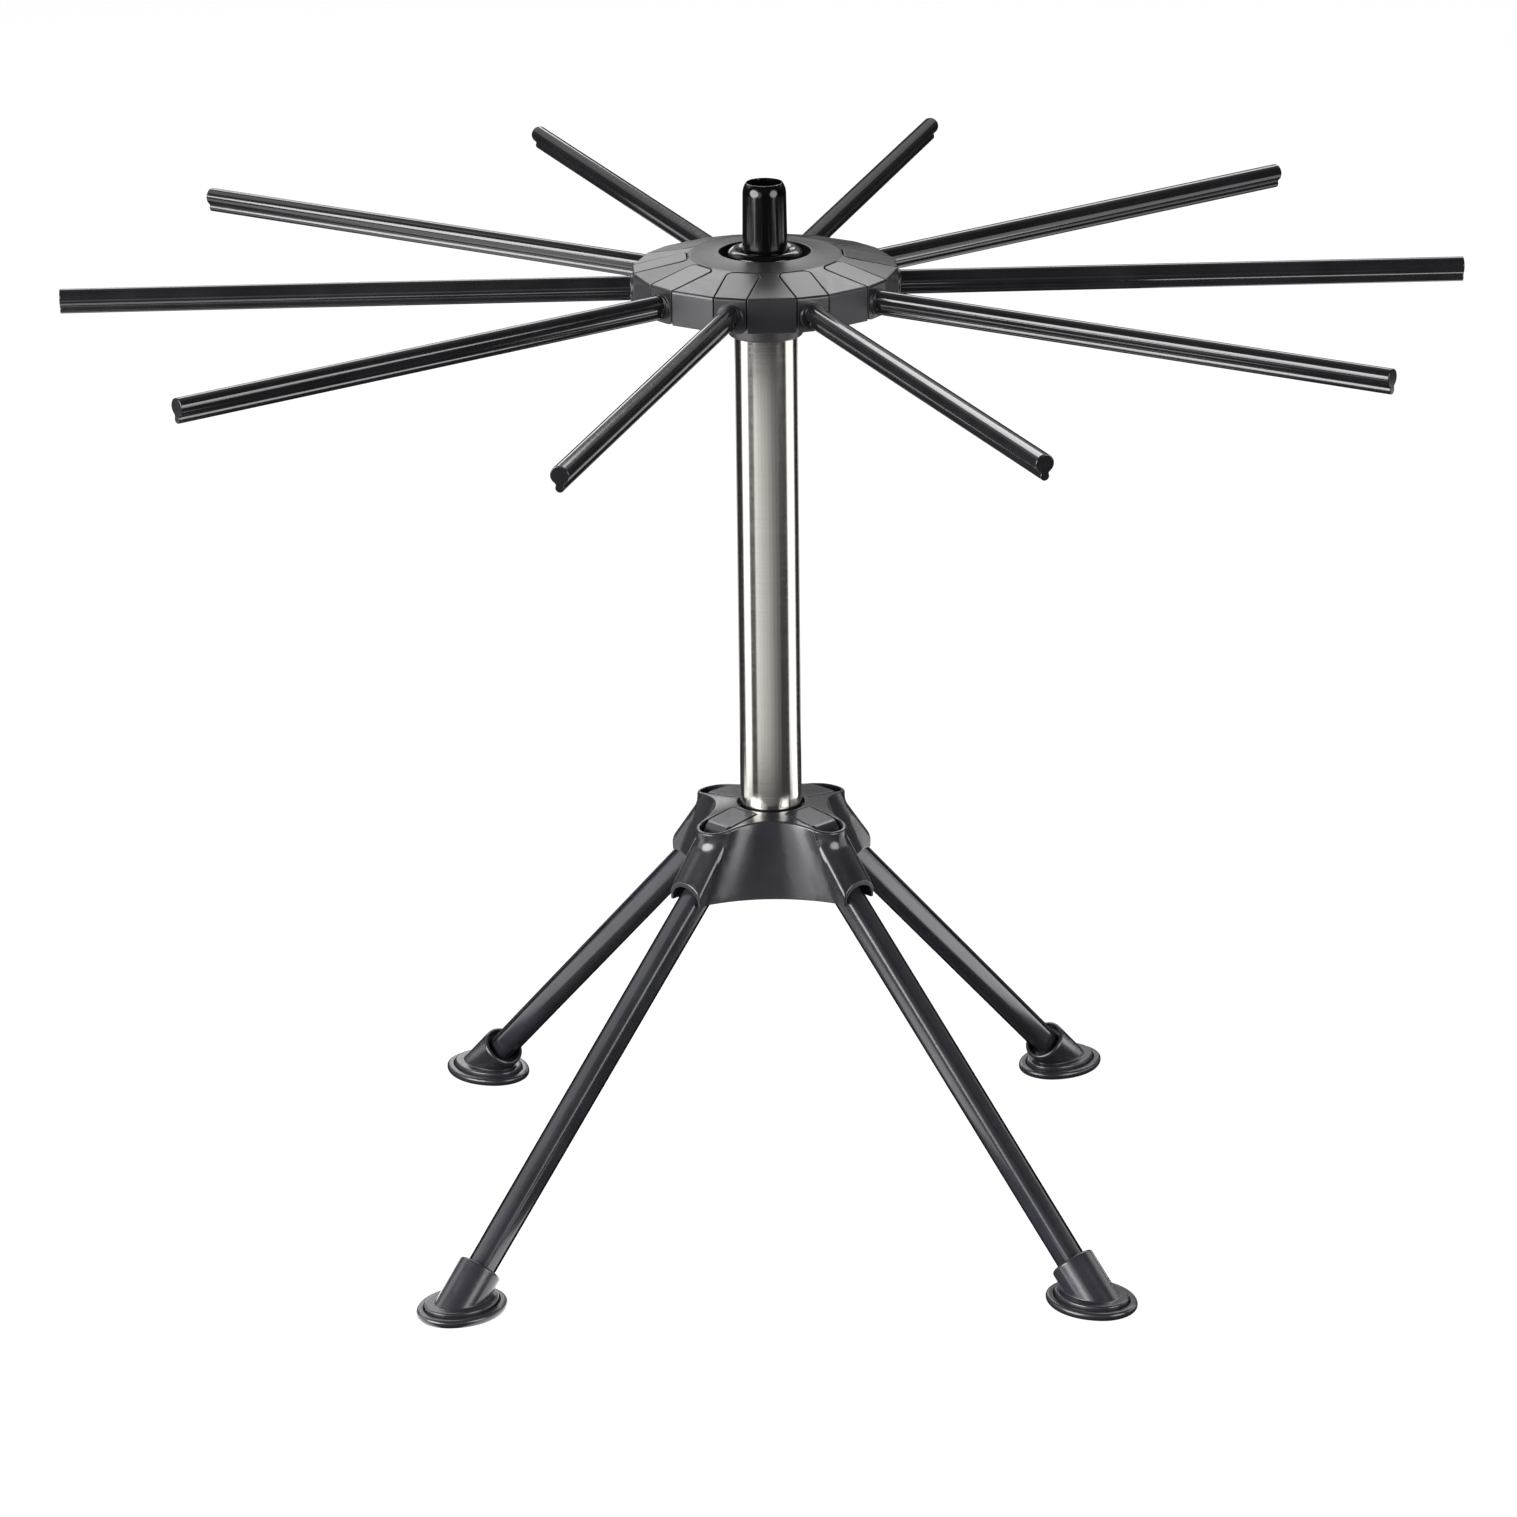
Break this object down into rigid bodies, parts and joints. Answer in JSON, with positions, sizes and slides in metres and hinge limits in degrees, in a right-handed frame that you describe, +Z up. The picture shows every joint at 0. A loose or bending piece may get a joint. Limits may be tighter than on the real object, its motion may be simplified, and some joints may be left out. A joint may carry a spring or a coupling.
{
  "type": "pasta drying rack",
  "caption": "Free-standing rack for drying fresh pasta: folding arms fan out from a hub on a steel column, over folding legs with oval feet and a lift-out wand.",
  "frame": {"origin": "on the floor under the column's axis, in the middle between the four feet", "axes": "+Z up along the column; +X to the right and +Y away from the viewer of the picture, each between two legs; the first arm points 2.7 degrees from +X towards +Y"},
  "size_m": [0.4888, 0.4732, 0.3758],
  "materials": {
    "hub_plastic": "satin",
    "arm_plastic": "glossy",
    "knob_plastic": "polished",
    "base_plastic": "satin gloss",
    "leg_plastic": "satin",
    "foot_plastic": "satin",
    "column_steel": "brushed",
    "pin_steel": "ground",
    "fastener_steel": "plated"
  },
  "bodies": {
    "rack": {"hub_cap": "hub_plastic", "hub_base": "hub_plastic", "hub_screws": "fastener_steel", "arm_pins": "pin_steel", "column_tube": "column_steel", "seat_ring": "knob_plastic", "base_shell": "base_plastic", "base_keeper": "base_plastic", "tube_plug": "base_plastic", "anchor_washer": "fastener_steel", "anchor_screw": "fastener_steel", "leg_pins": "pin_steel"},
    "arm_01": {"arm_01": "arm_plastic"},
    "arm_02": {"arm_02": "arm_plastic"},
    "arm_03": {"arm_03": "arm_plastic"},
    "arm_04": {"arm_04": "arm_plastic"},
    "arm_05": {"arm_05": "arm_plastic"},
    "arm_06": {"arm_06": "arm_plastic"},
    "arm_07": {"arm_07": "arm_plastic"},
    "arm_08": {"arm_08": "arm_plastic"},
    "arm_09": {"arm_09": "arm_plastic"},
    "arm_10": {"arm_10": "arm_plastic"},
    "leg_back_right": {"leg_back_right": "leg_plastic", "foot_back_right": "foot_plastic"},
    "leg_back_left": {"leg_back_left": "leg_plastic", "foot_back_left": "foot_plastic"},
    "leg_front_left": {"leg_front_left": "leg_plastic", "foot_front_left": "foot_plastic"},
    "leg_front_right": {"leg_front_right": "leg_plastic", "foot_front_right": "foot_plastic"},
    "wand": {"wand_handle": "knob_plastic", "wand_rod": "pin_steel"}
  },
  "joints": [
    {"name": "arm_01_hinge", "type": "hinge", "parent": "rack", "child": "arm_01", "pos_m": [0.03268, 0.00154, 0.3389], "axis": [-0.0471, 0.9989, 0], "range_deg": [0, 84.5]},
    {"name": "arm_02_hinge", "type": "hinge", "parent": "rack", "child": "arm_02", "pos_m": [0.02553, 0.02046, 0.3389], "axis": [-0.6252, 0.7804, 0], "range_deg": [0, 84.5]},
    {"name": "arm_03_hinge", "type": "hinge", "parent": "rack", "child": "arm_03", "pos_m": [0.00863, 0.03156, 0.3389], "axis": [-0.9646, 0.2639, 0], "range_deg": [0, 84.5]},
    {"name": "arm_04_hinge", "type": "hinge", "parent": "rack", "child": "arm_04", "pos_m": [-0.01156, 0.0306, 0.3389], "axis": [-0.9354, -0.3535, 0], "range_deg": [0, 84.5]},
    {"name": "arm_05_hinge", "type": "hinge", "parent": "rack", "child": "arm_05", "pos_m": [-0.02735, 0.01796, 0.3389], "axis": [-0.549, -0.8358, 0], "range_deg": [0, 84.5]},
    {"name": "arm_06_hinge", "type": "hinge", "parent": "rack", "child": "arm_06", "pos_m": [-0.03268, -0.00154, 0.3389], "axis": [0.0471, -0.9989, 0], "range_deg": [0, 84.5]},
    {"name": "arm_07_hinge", "type": "hinge", "parent": "rack", "child": "arm_07", "pos_m": [-0.02553, -0.02046, 0.3389], "axis": [0.6252, -0.7804, 0], "range_deg": [0, 84.5]},
    {"name": "arm_08_hinge", "type": "hinge", "parent": "rack", "child": "arm_08", "pos_m": [-0.00863, -0.03156, 0.3389], "axis": [0.9646, -0.2639, 0], "range_deg": [0, 84.5]},
    {"name": "arm_09_hinge", "type": "hinge", "parent": "rack", "child": "arm_09", "pos_m": [0.01156, -0.0306, 0.3389], "axis": [0.9354, 0.3535, 0], "range_deg": [0, 84.5]},
    {"name": "arm_10_hinge", "type": "hinge", "parent": "rack", "child": "arm_10", "pos_m": [0.02735, -0.01796, 0.3389], "axis": [0.549, 0.8358, 0], "range_deg": [0, 84.5]},
    {"name": "leg_back_right_hinge", "type": "hinge", "parent": "rack", "child": "leg_back_right", "pos_m": [0.01485, 0.01485, 0.139], "axis": [-0.7071, 0.7071, 0], "range_deg": [0, 42]},
    {"name": "leg_back_left_hinge", "type": "hinge", "parent": "rack", "child": "leg_back_left", "pos_m": [-0.01485, 0.01485, 0.139], "axis": [-0.7071, -0.7071, 0], "range_deg": [0, 42]},
    {"name": "leg_front_left_hinge", "type": "hinge", "parent": "rack", "child": "leg_front_left", "pos_m": [-0.01485, -0.01485, 0.139], "axis": [0.7071, -0.7071, 0], "range_deg": [0, 42]},
    {"name": "leg_front_right_hinge", "type": "hinge", "parent": "rack", "child": "leg_front_right", "pos_m": [0.01485, -0.01485, 0.139], "axis": [0.7071, 0.7071, 0], "range_deg": [0, 42]},
    {"name": "wand_slide", "type": "slide", "parent": "rack", "child": "wand", "axis": [0, 0, 1], "range_m": [0, 0.16]}
  ]
}
